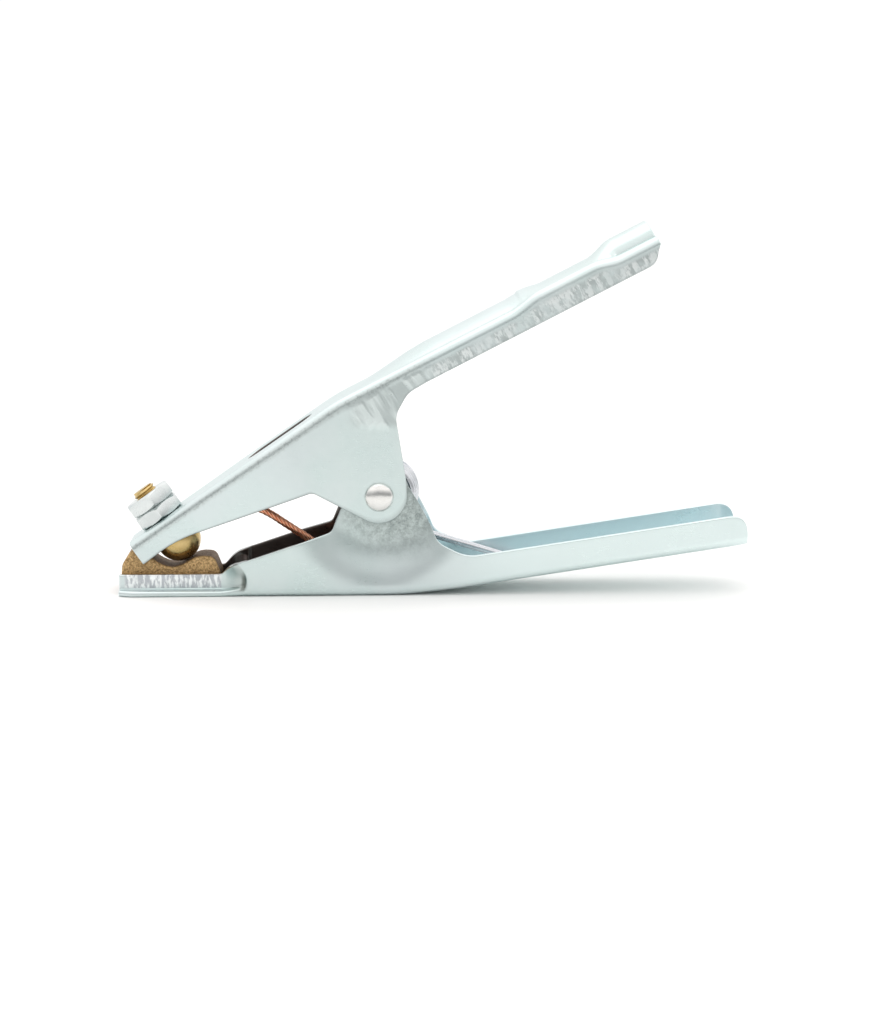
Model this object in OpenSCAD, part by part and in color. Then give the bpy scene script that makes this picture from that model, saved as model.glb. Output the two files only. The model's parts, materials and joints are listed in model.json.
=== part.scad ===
/* [Arms] */
// Outer width of the lower channel
lower_w = 30; // [28:0.5:36]
// Thickness of the pressed sheet of both arms
sheet_t = 1.8; // [1.5:0.1:2.2]
// Outer radius of the long bends between web and walls
bend_r = 2.8; // [2.4:0.1:3.5]
// Outer width across the ears of the lower arm
lower_ear_w = 23.6; // [21:0.2:25]
// Gap between the lower ears and the upper ears on each side
ear_gap = 0.3; // [0.2:0.05:0.6]
// Outer width of the upper jaw at its tip
jaw_tip_w = 20; // [19.5:0.5:23]
// Height of the pivot axis above the resting plane
pivot_z = 33; // [32.5:0.1:34]
// Length of the lower handle, pivot axis to end
lower_reach = 122.4; // [102:0.2:147]
// Length of the upper handle along X, pivot axis to end
upper_reach = 91; // [76:0.2:110]

/* [Jaws] */
// Diameter of the contact ball
ball_d = 14.6; // [12:0.1:14.6]
// Width of the contact pad
pad_w = 13; // [10:0.5:13.5]
// Thread diameter of the ball stud
stud_d = 8; // [6:0.5:8.5]
// Width across flats of the stud nuts
nut_flats = 15.5; // [13:0.5:17]
// Thickness of one stud nut
nut_h = 4.8; // [3.8:0.1:5.8]
// Bare thread above the outer nut
stud_proud = 2.1; // [1.5:0.1:8]

/* [Pivot] */
// Shank diameter of the pivot rivet
rivet_d = 6; // [5:0.25:7]
// Head diameter of the pivot rivet
rivet_head_d = 9.6; // [8.5:0.1:11]
// Running clearance of the rivet in its holes, on the radius
rivet_clear = 0.05; // [0.03:0.01:0.09]
// Outer diameter of the spring sleeve
sleeve_d = 12.8; // [10:0.2:12.8]
// Wire diameter of the torsion spring
wire_d = 2.5; // [2:0.1:2.6]
// Mean diameter of the spring coil
coil_d = 20.4; // [20:0.1:20.8]
// Number of whole turns in the coil
coil_turns = 6; // [4:1:6]

/* [Cable path] */
// Diameter of the copper strand
strand_d = 2.6; // [2:0.1:3]
// Width of the cable slot in the upper web
slot_w = 10; // [8:0.5:12]
// Length of the cable slot along the web
slot_l = 26; // [20:1:28]

/* [Hidden] */

zinc = [0.80, 0.84, 0.85];
brass = [0.72, 0.55, 0.28];
copper = [0.76, 0.45, 0.30];
steel = [0.62, 0.65, 0.67];

// ---- Curve helpers -------------------------------------------------------
function lerp(a, b, t) = a + (b - a) * t;
function clamp01(t) = min(1, max(0, t));
function smooth(t) = let (u = clamp01(t)) u * u * (3 - 2 * u);
function ramp(x, a, b) = smooth((x - a) / (b - a));
// Outline through corners [x, z, x on the web, cut]: each corner is rounded over its cut
function head(v) = [v[0], v[1], v[2]];
function toward(a, b, d) = a + (b - a) * (d / norm([b[0] - a[0], b[1] - a[1]]));
function rounded(c, n) = [
    for (i = [0 : len(c) - 1])
        if (c[i][3] == 0) head(c[i])
        else for (k = [0 : n])
            let (t = k / n, b = head(c[i]),
                 p = toward(b, head(c[i - 1]), c[i][3]), q = toward(b, head(c[i + 1]), c[i][3]))
            p * (1 - t) * (1 - t) + b * 2 * t * (1 - t) + q * t * t];
// The same outline with its long straights split to pieces no longer than step
function refine(p, step) = [
    for (i = [0 : len(p) - 2])
        let (n = ceil(norm(p[i + 1] - p[i]) / step))
        for (k = [0 : n - 1]) lerp(p[i], p[i + 1], k / n),
    p[len(p) - 1]];

// ---- Channel section -----------------------------------------------------
arc_n = 3;
// Half of the section's outer side, from the middle of the web to the wall's edge, as
// [half width, depth below the web, sideways normal, upward normal]
// joggle gives the depths between which the wall steps from hw to he
function half_outer(hw, he, depth, r, crown, belly, joggle, web_n, wall_n) = concat(
    [for (k = [0 : web_n - 1]) let (y = (hw - r) * k / web_n)
        [y, -crown_at(y, hw - r, crown, belly), 0, 1]],
    [for (k = [0 : arc_n]) let (a = 90 * k / arc_n)
        [hw - r + r * sin(a), r - r * cos(a), sin(a), cos(a)]],
    [for (k = [1 : wall_n]) let (z = lerp(r, depth, pow(k / wall_n, 1.3)))
        [lerp(hw, he, ramp(z, joggle[0], joggle[1])), z, 1, 0]]);
// Height of the web's crown at y: a low arch, or a narrow half tube when belly is under 1
function crown_at(y, flat, crown, belly) = crown * pow(clamp01(1 - pow(y / (flat * belly), 2)), 0.6);
// Whole ring at one station: web point w, edge point e, and dir, which is square to the web
// and points along the wall. The wall leans by slip where the edge isn't straight below.
function ring(w, e, dir, hw, he, bend, crown, belly, joggle, web_n, wall_n) =
    let (deep = (e - w) * dir, slip = (e - w) - dir * deep,
         r = min(bend, deep - 0.2),
         o = half_outer(hw, he, deep, r, crown, belly, joggle, web_n, wall_n),
         n = len(o),
         t = sheet_t,
         out = [for (p = o) let (c = w + dir * p[1] + slip * clamp01((p[1] - r) / (deep - r)))
             [c[0], p[0], c[1]]],
         inn = [for (i = [0 : n - 1]) let (p = o[i], c = out[i])
             [c[0] + dir[0] * t * p[3], c[1] - t * p[2], c[2] + dir[1] * t * p[3]]])
    concat([for (i = [n - 1 : -1 : 0]) out[i]],
           [for (i = [1 : n - 1]) [out[i][0], -out[i][1], out[i][2]]],
           [for (i = [n - 1 : -1 : 1]) [inn[i][0], -inn[i][1], inn[i][2]]],
           [for (i = [0 : n - 1]) inn[i]]);
// Skin over a row of rings, with the two ends closed between outer and inner side
module skin(rings, flip) {
    n = len(rings[0]);
    last = len(rings) - 1;
    side = [for (i = [0 : last - 1]) for (k = [0 : n - 1])
        let (a = i * n + k, b = i * n + (k + 1) % n, c = a + n, d = b + n)
        each [[a, b, d], [a, d, c]]];
    ends = [for (k = [0 : n / 2 - 2])
        let (a = k, b = k + 1, c = n - 2 - k, d = n - 1 - k, m = last * n)
        each [[a, d, c], [a, c, b], [m + a, m + b, m + c], [m + a, m + c, m + d]]];
    faces = concat(side, ends);
    polyhedron([for (r = rings) for (p = r) p],
               flip ? [for (f = faces) [f[2], f[1], f[0]]] : faces, convexity = 10);
}
module across(x, z, d, l) {
    translate([x, 0, z]) rotate([90, 0, 0]) cylinder(d = d, h = l, center = true, $fn = 48);
}

// ---- Lower arm -----------------------------------------------------------
handle_rise = 0.1475;
floor_line = [[-90, 0], [5, 0], [16, 0.8], [24, 1.7], [32, 2.8], [40, 4.1],
              [200, 4.1 + 160 * handle_rise]];
function floor_at(x) = lookup(x, floor_line);
wall_h = 10.5;
ear_r = 10.2;
nose_x = -86.3;
crimp_x = -52.4;
crimp_top = 6.8;
crimp_half = pad_w / 2 + 0.5 + sheet_t;
lower_edge = concat(
    [[nose_x, crimp_top, nose_x, 0], [crimp_x, crimp_top, crimp_x, 0.8],
     [-49, 11, -49, 1.5], [-42.8, 12.2, -42.8, 2], [-15.8, 21.3, -15.8, 1.2]],
    [for (a = [168 : -15 : 18]) let (x = ear_r * cos(a), z = pivot_z + ear_r * sin(a)) [x, z, x, 0]],
    [[13, 30.9, 13, 2], [17.4, 22.6, 17.4, 1.5], [19.2, 17.8, 19.2, 2.5],
     [28.8, floor_at(28.8) + wall_h, 28.8, 4],
     [lower_reach - 0.4, floor_at(lower_reach) + wall_h, lower_reach - 0.4, 6.5],
     [lower_reach, floor_at(lower_reach) + bend_r + 0.3, lower_reach, 0]]);
lower_path = refine(rounded(lower_edge, 5), 5);
// Half width of the floor: a little rounded at the nose and at the handle's end
function lower_half(x) = lower_w / 2
    - 1.8 * (1 - ramp(x, nose_x - 2, nose_x + 5))
    - 1.2 * ramp(x, lower_reach - 5, lower_reach + 2);
// Half width at the wall's edge: folded over the pad in front, drawn in at the ears
function lower_edge_half(x) = lower_half(x)
    - (lower_w / 2 - crimp_half) * (1 - ramp(x, crimp_x, crimp_x + 8))
    - (lower_w - lower_ear_w) / 2 * ramp(x, -30, -14) * (1 - ramp(x, 17, 32));
module lower_arm() {
    rings = [for (p = lower_path)
        ring([p[2], floor_at(p[2])], [p[0], p[1]], [0, 1],
             lower_half(p[2]), lower_edge_half(p[0]), bend_r, 0, 1,
             p[0] < crimp_x + 6 ? [1.2, 8] : [5, 19], 1, 6)];
    color(zinc) difference() {
        skin(rings, false);
        across(0, pivot_z, rivet_d + 2 * rivet_clear, 2 * lower_w);
        translate([lug_x, 0, -1]) cylinder(d = lug_rivet_d, h = 10, $fn = 48);
        translate([lug_x, 0, -0.01])
            cylinder(d1 = lug_rivet_d + 2 * countersink, d2 = lug_rivet_d, h = countersink, $fn = 48);
    }
}

// ---- Upper arm -----------------------------------------------------------
jaw_rise = 0.69;
upper_rise = 0.512;
elbow_x = -14.5;
tip_x = -83;
tip_z = 17.2;
function jaw_line(x) = tip_z + jaw_rise * (x - tip_x);
function handle_line(x) = jaw_line(elbow_x) + upper_rise * (x - elbow_x);
elbow_cut = 4;
// Web plane at x: a blended bend of half length elbow_cut between jaw and handle slopes
function web_at(x) =
    x < elbow_x - elbow_cut ? jaw_line(x) :
    x > elbow_x + elbow_cut ? handle_line(x) :
    let (u = (x - elbow_x + elbow_cut) / (2 * elbow_cut))
    jaw_line(elbow_x - elbow_cut) + 2 * elbow_cut * (jaw_rise * (u - u * u / 2) + upper_rise * u * u / 2);
jaw_angle = atan(jaw_rise);
handle_angle = atan(upper_rise);
// Direction square to the web at x, into the channel
function inward_at(x) =
    let (a = lerp(jaw_angle, handle_angle, clamp01((x - elbow_x + elbow_cut) / (2 * elbow_cut))))
    [sin(a), -cos(a)];
upper_half = lower_ear_w / 2 + ear_gap + sheet_t;
// Lower edge of the handle wall, this far below the web line
handle_wall = 8;
handle_drop = handle_wall / cos(handle_angle);
function handle_edge(x) = handle_line(x) - handle_drop;
disc_x = -0.2;
disc_z = 33.6;
disc_r = 9.4;
upper_edge = concat(
    [[-78.2, 10.2, tip_x, 0], [-67.1, 18.4, -73.5, 7], [-22, 34.5, -33, 1.4]],
    [for (a = [-120 : 15 : 0])
        [disc_x + disc_r * cos(a), disc_z + disc_r * sin(a), lerp(-14, -3, (a + 120) / 120), 0]],
    [[9, 38, -1.5, 0], [5.4, 60, 3.8, 3], [9.6, handle_edge(9.6) - 0.4, 6.5, 2.5],
     [16, handle_edge(16), 12.3, 0],
     [upper_reach - 0.2, handle_edge(upper_reach - 0.2), upper_reach - 3.8, 3],
     [upper_reach, handle_edge(upper_reach) + 3.6, upper_reach - 0.5, 0]]);
upper_path = refine(rounded(upper_edge, 5), 5);
function upper_half_at(x) = lerp(jaw_tip_w / 2, upper_half, ramp(x, tip_x, -32));
// Crown of the handle web, and the half tube that guides the cable out at its end
function mouth(x) = ramp(x, upper_reach - 24, upper_reach - 12);
function handle_crown(x) = 3.1 * ramp(x, -12, 18) * (1 - 0.7 * ramp(x, 44, 54)) * (1 - mouth(x))
    + 7.4 * mouth(x);
function web_lift(x) = 1.9 * ramp(x, 43, 50) - 4 * mouth(x);
module upper_arm() {
    rings = [for (p = upper_path)
        let (x = p[2], lift = web_lift(x))
        ring([x, web_at(x) + lift], [p[0], p[1]], inward_at(x),
             upper_half_at(x), upper_half_at(min(x, p[0])), bend_r,
             handle_crown(x), lerp(1, 0.72, mouth(x)), [0, 1], 4, 4)];
    color(zinc) difference() {
        skin(rings, true);
        across(0, pivot_z, rivet_d + 2 * rivet_clear, 2 * lower_w);
        stud_frame() translate([0, 0, -5]) cylinder(d = stud_d + 2 * stud_clear, h = 30, $fn = 48);
        translate([slot_x, 0, jaw_line(slot_x)]) rotate([0, -jaw_angle, 0]) hull() {
            for (s = [-1, 1]) translate([s * (slot_l - slot_w) / 2, 0, -6])
                cylinder(d = slot_w, h = 12, $fn = 32);
        }
    }
}
slot_x = -33;

// ---- Jaw contacts --------------------------------------------------------
ball_x = -67.2;
ball_z = 17.2;
ball_seat = ball_d / 2 - 1.7;
stud_clear = 0.1;
// Distance from the ball's centre to the web's outer face, along the stud
web_off = (jaw_line(ball_x) - ball_z) * cos(jaw_angle);
lug_t = web_off - sheet_t - ball_seat;
module stud_frame() {
    translate([ball_x, 0, ball_z]) rotate([0, -jaw_angle, 0]) children();
}
nut_gap = 0.05;
stud_bare = web_off + 2 * nut_h + 2 * nut_gap;
stud_end_chamfer = 0.6;
thread_depth = 0.4;
// The thread root shows this far above the outer nut
thread_relief = 0.15;
module ball_stud() {
    color(brass) stud_frame() union() {
        intersection() {
            sphere(d = ball_d, $fn = 64);
            translate([0, 0, ball_seat - ball_d]) cylinder(d = 2 * ball_d, h = ball_d, $fn = 48);
        }
        translate([0, 0, ball_seat - 1]) cylinder(d = stud_d, h = web_off - ball_seat + 1, $fn = 48);
        translate([0, 0, ball_seat])
            cylinder(d = stud_d - 2 * thread_depth, h = stud_bare - ball_seat + 1, $fn = 48);
        translate([0, 0, stud_bare + thread_relief])
            cylinder(d = stud_d, h = stud_proud - stud_end_chamfer - thread_relief, $fn = 48);
        translate([0, 0, stud_bare + stud_proud - stud_end_chamfer])
            cylinder(d1 = stud_d, d2 = stud_d - 2 * stud_end_chamfer, h = stud_end_chamfer, $fn = 48);
    }
}
module nut() {
    chamfer = 0.5;
    difference() {
        intersection() {
            cylinder(d = nut_flats / cos(30), h = nut_h, $fn = 6);
            rotate_extrude($fn = 64) polygon([
                [0, 0], [nut_flats / 2 - 0.3, 0], [nut_flats / 2 + 2, 2 * chamfer],
                [nut_flats / 2 + 2, nut_h - 2 * chamfer], [nut_flats / 2 - 0.3, nut_h], [0, nut_h]]);
        }
        translate([0, 0, -1]) cylinder(d = stud_d + 0.1, h = nut_h + 2, $fn = 48);
    }
}
module stud_nuts() {
    color(zinc) stud_frame() {
        translate([0, 0, web_off + nut_gap]) rotate(8) nut();
        translate([0, 0, web_off + nut_h + 2 * nut_gap]) rotate(10) nut();
    }
}
// Cast pad: its side outline, the foot under the folded walls and a flat bottom on the floor
pad_front = -86.3;
pad_foot_half = 9.5;
module pad_outline() {
    gap = 0.3;
    under = jaw_line(-82) - sheet_t / cos(jaw_angle) - gap;
    swell = ball_d / 2 - 7.3;
    polygon([for (p = rounded([
        [pad_front, sheet_t, 0, 0], [pad_front, 9.4, 0, 1], [-82.6, under - 1, 0, 1.5],
        [-79.3, under, 0, 1.6], [-76, 9.8, 0, 2.6], [-68.4, 7.1 - swell, 0, 4.5],
        [-60.6 + 0.78 * swell, 12.6 - 0.62 * swell, 0, 2.4],
        [-55, 12.2, 0, 2], [-53, 7, 0, 0], [-53, sheet_t, 0, 0]], 6))
        [p[0], p[1]]]);
}
module contact_pad() {
    color(brass) union() {
        rotate([90, 0, 0]) linear_extrude(pad_w, center = true) pad_outline();
        translate([pad_front + 1, -pad_foot_half, sheet_t]) cube([-53 - pad_front - 1, 2 * pad_foot_half, 1.6]);
    }
}

// ---- Copper jumper -------------------------------------------------------
lug_x = -40;
lug_rivet_d = 4;
countersink = 0.9;
lug_r = 5.2;
lug_plate = 1;
barrel_d = 5;
module upper_lug() {
    color(copper) stud_frame() difference() {
        union() {
            translate([0, 0, ball_seat]) cylinder(r = 6.6, h = lug_t, $fn = 48);
            translate([0, -2.2, ball_seat]) cube([10.5, 4.4, lug_t]);
            translate([8.8, 0, web_off - sheet_t - barrel_d / 2 - 0.1]) rotate([0, 90, 0])
                cylinder(d = barrel_d, h = 6.5, $fn = 32);
        }
        translate([0, 0, ball_seat - 5]) cylinder(d = stud_d + 0.1, h = 10, $fn = 48);
        translate([9.2, 0, web_off - sheet_t - barrel_d / 2 - 0.1]) rotate([0, 90, 0])
            cylinder(d = strand_d + 0.6, h = 10, $fn = 32);
    }
}
module lower_lug() {
    color(copper) difference() {
        union() {
            translate([lug_x, 0, sheet_t]) cylinder(r = lug_r, h = lug_plate, $fn = 48);
            translate([lug_x, -2.2, sheet_t]) cube([9.5, 4.4, lug_plate]);
            translate([lug_x + 8, 0, sheet_t + barrel_d / 2]) rotate([0, 90, 0])
                cylinder(d = barrel_d, h = 6.5, $fn = 32);
        }
        translate([lug_x, 0, -1]) cylinder(d = lug_rivet_d + 0.1, h = 10, $fn = 48);
        translate([lug_x + 8.4, 0, sheet_t + barrel_d / 2]) rotate([0, 90, 0])
            cylinder(d = strand_d + 0.6, h = 10, $fn = 32);
    }
}
module lug_rivet() {
    shank = sheet_t + lug_plate;
    color(steel) translate([lug_x, 0, 0]) union() {
        cylinder(d1 = lug_rivet_d + 2 * countersink - 0.1, d2 = lug_rivet_d - 0.1, h = countersink, $fn = 48);
        cylinder(d = lug_rivet_d - 0.1, h = shank + 0.5, $fn = 48);
        translate([0, 0, shank]) rotate_extrude($fn = 48) intersection() {
            translate([0, -2.2]) circle(r = 4, $fn = 64);
            square([10, 10]);
        }
    }
}
// Sweep of a round section along points, each ring square to the path's direction
function along(p, i) = let (a = p[max(0, i - 1)], b = p[min(len(p) - 1, i + 1)]) (b - a) / norm(b - a);
module tube(p, d, sides) {
    n = len(p);
    rings = [for (i = [0 : n - 1])
        let (t = along(p, i), s = cross(t, [0.05, 1, 0.02]), u = s / norm(s), v = cross(t, u))
        for (k = [0 : sides - 1]) let (a = 360 * k / sides) p[i] + (u * cos(a) + v * sin(a)) * d / 2];
    polyhedron(rings, concat(
        [[for (k = [0 : sides - 1]) k]],
        [for (i = [0 : n - 2]) for (k = [0 : sides - 1])
            let (a = i * sides + k, b = i * sides + (k + 1) % sides)
            each [[a, a + sides, b + sides], [a, b + sides, b]]],
        [[for (k = [sides - 1 : -1 : 0]) (n - 1) * sides + k]]), convexity = 10);
}
// Smooth curve through hand-set points
function spline(p, n) = [
    for (i = [0 : len(p) - 2]) let (
        a = p[max(0, i - 1)], b = p[i], c = p[i + 1], d = p[min(len(p) - 1, i + 2)])
        for (k = [0 : n - 1]) let (t = k / n)
            (b * 2 + (c - a) * t + (a * 2 - b * 5 + c * 4 - d) * t * t
             + (b * 3 - a - c * 3 + d) * t * t * t) / 2,
    p[len(p) - 1]];
function in_stud(s, z) = [ball_x + s * cos(jaw_angle) - z * sin(jaw_angle), 0,
                          ball_z + s * sin(jaw_angle) + z * cos(jaw_angle)];
strand_lift = web_off - sheet_t - barrel_d / 2 - 0.1;
lug_mouth = sheet_t + barrel_d / 2;
strand_route = [
    in_stud(10, strand_lift), in_stud(16.5, strand_lift), [-50, 0, 30.8], [-45, -1, 29],
    [-40, -2, 27.6], [-36, -2, 25.6], [-30, -2, 21.6], [-24, -1, 17.4], [-18, 1, 12.6],
    [-14, 2, 8], [-16.5, 2, 4.9], [-22, 1, 4.3], [lug_x + 15.5, 0, lug_mouth],
    [lug_x + 9, 0, lug_mouth]];
module copper_strand() {
    color(copper) tube(spline(strand_route, 5), strand_d, 8);
}

// ---- Pivot and spring ----------------------------------------------------
ear_out = upper_half;
head_gap = 0.05;
module rivet_head(r, dome) {
    rotate_extrude($fn = 48) intersection() {
        translate([0, dome - (r * r + dome * dome) / (2 * dome)])
            circle(r = (r * r + dome * dome) / (2 * dome), $fn = 96);
        square([r, 2 * dome]);
    }
}
module pivot_rivet() {
    seat = ear_out + head_gap;
    color(zinc) translate([0, 0, pivot_z]) union() {
        across(0, 0, rivet_d, 2 * seat + 0.4);
        for (s = [-1, 1]) rotate([s * 90, 0, 0]) translate([0, 0, seat])
            rivet_head(rivet_head_d / 2, 2.6);
    }
}
sleeve_l = lower_ear_w - 2 * sheet_t - 0.2;
module pivot_sleeve() {
    color(steel) translate([0, 0, pivot_z]) difference() {
        across(0, 0, sleeve_d, sleeve_l);
        across(0, 0, rivet_d + 2 * rivet_clear, sleeve_l + 2);
    }
}
// The coil hangs off centre on its sleeve, pressed sideways by its legs
coil_x = 2.1;
coil_z = pivot_z - 0.6;
pitch = wire_d * 1.02;
low_leg_dip = 17;
high_leg_lean = 20;
low_a = -90 - low_leg_dip;
high_a = 180 - high_leg_lean;
coil_sweep = 360 * coil_turns + (360 + low_a - high_a + 360) % 360;
coil_steps = 20 * coil_turns + 6;
coil_y = pitch * coil_sweep / 720;
function coil_at(k) = let (a = low_a - coil_sweep * k / coil_steps)
    [coil_x + coil_d / 2 * cos(a), coil_y - 2 * coil_y * k / coil_steps,
     coil_z + coil_d / 2 * sin(a)];
low_start = coil_at(0);
high_start = coil_at(coil_steps);
// Each leg is as long as it takes to rest on its arm
leg_seat = 0.1 + wire_d / 2 + sheet_t;
low_leg = (low_start[2] - floor_at(60) + handle_rise * (60 - low_start[0]) - leg_seat - 0.1)
    / (sin(low_leg_dip) + handle_rise * cos(low_leg_dip));
high_leg = (handle_line(high_start[0]) - high_start[2] - leg_seat / cos(handle_angle) - 0.1)
    / (cos(high_leg_lean) - upper_rise * sin(high_leg_lean));
spring_path = concat(
    [for (t = [1, 0.66, 0.33]) low_start + low_leg * t * [cos(low_leg_dip), 0, -sin(low_leg_dip)]],
    [for (k = [0 : coil_steps]) coil_at(k)],
    [for (t = [0.33, 0.66, 1]) high_start + high_leg * t * [sin(high_leg_lean), 0, cos(high_leg_lean)]]);
module torsion_spring() {
    color(steel) tube(spring_path, wire_d, 8);
}

lower_arm();
upper_arm();
contact_pad();
ball_stud();
stud_nuts();
upper_lug();
lower_lug();
lug_rivet();
copper_strand();
pivot_rivet();
pivot_sleeve();
torsion_spring();
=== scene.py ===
import json
import math

import bmesh
import bpy
from mathutils import Matrix, Vector

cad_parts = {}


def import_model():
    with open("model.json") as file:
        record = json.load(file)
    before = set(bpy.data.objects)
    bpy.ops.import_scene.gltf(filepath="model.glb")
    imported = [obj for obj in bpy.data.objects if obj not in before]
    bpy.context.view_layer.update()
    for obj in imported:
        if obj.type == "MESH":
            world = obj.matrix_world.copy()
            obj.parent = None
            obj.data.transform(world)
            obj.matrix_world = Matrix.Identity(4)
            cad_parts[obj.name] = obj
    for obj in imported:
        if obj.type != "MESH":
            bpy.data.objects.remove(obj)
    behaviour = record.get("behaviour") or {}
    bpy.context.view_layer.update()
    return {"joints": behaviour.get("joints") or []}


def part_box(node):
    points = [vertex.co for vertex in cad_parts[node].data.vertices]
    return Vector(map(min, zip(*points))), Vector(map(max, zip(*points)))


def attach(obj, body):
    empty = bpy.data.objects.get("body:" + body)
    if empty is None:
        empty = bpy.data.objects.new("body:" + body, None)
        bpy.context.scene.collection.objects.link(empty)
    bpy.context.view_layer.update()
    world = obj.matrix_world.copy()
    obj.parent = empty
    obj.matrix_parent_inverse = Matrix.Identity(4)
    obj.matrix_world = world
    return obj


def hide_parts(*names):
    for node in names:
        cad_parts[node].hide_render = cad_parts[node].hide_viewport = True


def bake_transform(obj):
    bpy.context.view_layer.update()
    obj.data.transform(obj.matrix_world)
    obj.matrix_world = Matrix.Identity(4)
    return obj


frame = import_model()

# Shapes are worked out in millimetres and become metres where a mesh is made.
MM = 0.001


# ---- Sizes, in millimetres, from the frame ---------------------------------
def box_mm(node):
    """The low and high corner of a CAD node's box."""
    low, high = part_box(node)
    return low / MM, high / MM


LOWER_LO, LOWER_HI = box_mm("lower_arm")
UPPER_HI = box_mm("upper_arm")[1]
PAD_LO = box_mm("contact_pad")[0]
BALL_LO, BALL_HI = box_mm("ball_stud")
RIVET_LO, RIVET_HI = box_mm("pivot_rivet")
SLEEVE_HI = box_mm("pivot_sleeve")[1]
JOINT = next(j for j in frame["joints"] if j["name"] == "jaw_pivot")
PIVOT_Z = JOINT["pos_m"][2] / MM

SHEET = 1.8
BEND = 2.8
LOWER_HALF = LOWER_HI.y
UPPER_HALF = UPPER_HI.y
EAR_GAP = 0.3
LOWER_EAR_HALF = UPPER_HALF - SHEET - EAR_GAP
NOSE_X = LOWER_LO.x
LOWER_END = LOWER_HI.x
UPPER_END = 91.0
PAD_HALF = 6.5
BALL_R = (BALL_HI.y - BALL_LO.y) / 2
BALL_AT = Vector((-67.2, 0, 17.2))
RIM = 0.35


# ---- Curve helpers ----------------------------------------------------------
def lerp(a, b, t):
    """The value a share t of the way from a to b."""
    return a + (b - a) * t


def ramp(x, a, b):
    """A soft step from 0 where x is a to 1 where x is b."""
    t = min(1.0, max(0.0, (x - a) / (b - a)))
    return t * t * (3 - 2 * t)


def rounded(corners, n=10):
    """The outline through corners (x, z, x on the web, cut), each corner rounded over its cut."""
    points = []
    for i, (*here, cut) in enumerate(corners):
        b = Vector(here)
        if not cut:
            points.append(b)
            continue
        before, after = Vector(corners[i - 1][:3]), Vector(corners[i + 1][:3])
        p = b + (before - b) * (cut / (before - b).to_2d().length)
        q = b + (after - b) * (cut / (after - b).to_2d().length)
        for k in range(n + 1):
            t = k / n
            points.append(p * (1 - t) ** 2 + b * 2 * t * (1 - t) + q * t * t)
    return points


def refine(points, step):
    """The same outline with every straight split into pieces no longer than step."""
    out = []
    for a, b in zip(points, points[1:]):
        n = max(1, math.ceil((b - a).length / step))
        out += [a.lerp(b, k / n) for k in range(n)]
    return out + [points[-1]]


def table(x, rows):
    """Straight-line lookup of x in rows of (x, value)."""
    for (x0, v0), (x1, v1) in zip(rows, rows[1:]):
        if x <= x1:
            return lerp(v0, v1, (x - x0) / (x1 - x0))
    return rows[-1][1]


def spline(points, n):
    """A smooth curve through given points."""
    out = []
    last = len(points) - 1
    for i in range(last):
        a, b, c, d = (Vector(points[max(0, min(last, i + k))]) for k in (-1, 0, 1, 2))
        for k in range(n):
            t = k / n
            out.append((b * 2 + (c - a) * t + (a * 2 - b * 5 + c * 4 - d) * t * t
                        + (b * 3 - a - c * 3 + d) * t ** 3) / 2)
    return out + [Vector(points[-1])]


# ---- Mesh helpers -----------------------------------------------------------
def make(name, points, faces, sharp=None, attributes=()):
    """A smooth-shaded mesh from points in millimetres."""
    mesh = bpy.data.meshes.new(name)
    mesh.from_pydata([Vector(p) * MM for p in points], [], faces)
    mesh.validate()
    mesh.shade_smooth()
    if sharp is not None:
        mesh.set_sharp_from_angle(angle=math.radians(sharp))
    for key, values in attributes:
        layer = mesh.attributes.new(key, "FLOAT", "POINT")
        layer.data.foreach_set("value", values)
    obj = bpy.data.objects.new(name, mesh)
    bpy.context.scene.collection.objects.link(obj)
    return obj


def grid_faces(rows, cols, wrap=True):
    """Quads over rows of cols points."""
    faces = []
    for i in range(rows - 1):
        for k in range(cols if wrap else cols - 1):
            a, b = i * cols + k, i * cols + (k + 1) % cols
            faces.append((a, b, b + cols, a + cols))
    return faces


def loop_faces(rows, cols):
    """Quads over rings of points whose last ring joins the first."""
    last = (rows - 1) * cols
    closing = [(k, (k + 1) % cols, last + (k + 1) % cols, last + k) for k in range(cols)]
    return grid_faces(rows, cols) + closing


def rod_faces(rows, cols):
    """Quads over rings of points, with a flat face at both ends."""
    ends = [tuple(reversed(range(cols))), tuple(range((rows - 1) * cols, rows * cols))]
    return grid_faces(rows, cols) + ends


def ring_points(place, sides, at):
    """A ring of points round the axis of place; at gives radius and height for an angle."""
    points = []
    for k in range(sides):
        a = 2 * math.pi * k / sides
        r, z = at(a)
        points.append(place @ Vector((r * math.cos(a), r * math.sin(a), z)))
    return points


def frames(path):
    """The points of a path, each with two directions across it that don't twist."""
    normal = Vector((0.05, 1, 0.02))
    last = len(path) - 1
    for i, p in enumerate(path):
        along = (path[min(last, i + 1)] - path[max(0, i - 1)]).normalized()
        normal = (normal - along * normal.dot(along)).normalized()
        yield p, normal, along.cross(normal)


def outward(obj):
    """Turns every face outward."""
    bm = bmesh.new()
    bm.from_mesh(obj.data)
    bmesh.ops.recalc_face_normals(bm, faces=bm.faces)
    bm.to_mesh(obj.data)
    bm.free()
    return obj


def lathe(name, profile, place, sides=96, sharp=35, wobble=None):
    """A turned piece: profile of (radius, height) from axis to axis, set by the matrix place."""
    points = []
    body = profile[1:-1]
    for r, z in body:
        points += ring_points(place, sides, lambda a: wobble(r, z, a) if wobble else (r, z))
    faces = grid_faces(len(body), sides)
    for z, ring in ((profile[0][1], 0), (profile[-1][1], len(body) - 1)):
        points.append(place @ Vector((0, 0, z)))
        tip = len(points) - 1
        faces += [(ring * sides + k, ring * sides + (k + 1) % sides, tip) for k in range(sides)]
    return outward(make(name, points, faces, sharp))


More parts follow.
